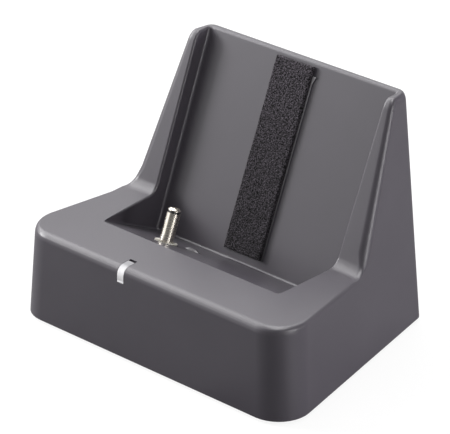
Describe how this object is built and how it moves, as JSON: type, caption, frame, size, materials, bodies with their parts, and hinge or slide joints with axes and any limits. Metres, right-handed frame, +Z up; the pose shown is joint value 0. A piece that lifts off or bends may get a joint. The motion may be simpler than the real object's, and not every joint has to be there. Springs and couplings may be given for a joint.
{
  "type": "bodypack charging cradle",
  "caption": "Desktop charging cradle for a wireless bodypack: a tapered moulded housing with a leaning pocket, padded backrest, charging plug and status light pipe.",
  "frame": {"origin": "middle of the footprint, on the table under the feet", "axes": "+X to the right seen from the front, +Y from the front to the back, +Z up"},
  "size_m": [0.0966, 0.0716, 0.0698],
  "materials": {
    "shell_plastic": "dark grey, fine satin texture",
    "cover_plastic": "black, fine texture",
    "foot_rubber": "black, soft",
    "screw_steel": "zinc plated",
    "pipe_plastic": "milky, translucent",
    "plug_nickel": "bright nickel plate",
    "plug_insulation": "black",
    "carrier_nylon": "natural nylon",
    "adhesive_film": "grey carrier film",
    "strip_foam": "open-pored black foam",
    "board_laminate": "green solder mask",
    "led_lens": "clear lens",
    "chip_epoxy": "black epoxy",
    "inductor_ferrite": "dull ferrite",
    "capacitor_sleeve": "dark shrink sleeve",
    "header_nylon": "white nylon",
    "lead_positive_sheath": "red sheath",
    "lead_negative_sheath": "black sheath",
    "inlet_plastic": "black",
    "inlet_nickel": "bright nickel plate"
  },
  "bodies": {
    "root": {"cradle_housing": "shell_plastic", "bottom_cover": "cover_plastic", "rubber_foot_1": "foot_rubber", "rubber_foot_2": "foot_rubber", "rubber_foot_3": "foot_rubber", "rubber_foot_4": "foot_rubber", "cover_screw_1": "screw_steel", "cover_screw_2": "screw_steel", "cover_screw_3": "screw_steel", "cover_screw_4": "screw_steel", "board_screw_1": "screw_steel", "board_screw_2": "screw_steel", "board_screw_3": "screw_steel", "board_screw_4": "screw_steel", "carrier_screw_1": "screw_steel", "carrier_screw_2": "screw_steel", "light_pipe": "pipe_plastic", "plug_sleeve": "plug_nickel", "plug_insulator": "plug_insulation", "plug_tip": "plug_nickel", "plug_collar": "plug_nickel", "plug_carrier": "carrier_nylon", "strip_adhesive": "adhesive_film", "cushion_strip": "strip_foam", "circuit_board": "board_laminate", "status_led": "led_lens", "charge_controller": "chip_epoxy", "power_inductor": "inductor_ferrite", "bulk_capacitor": "capacitor_sleeve", "lead_header": "header_nylon", "lead_positive": "lead_positive_sheath", "lead_negative": "lead_negative_sheath", "power_inlet": "inlet_plastic", "inlet_pin": "inlet_nickel", "inlet_spring": "inlet_nickel"}
  },
  "joints": []
}
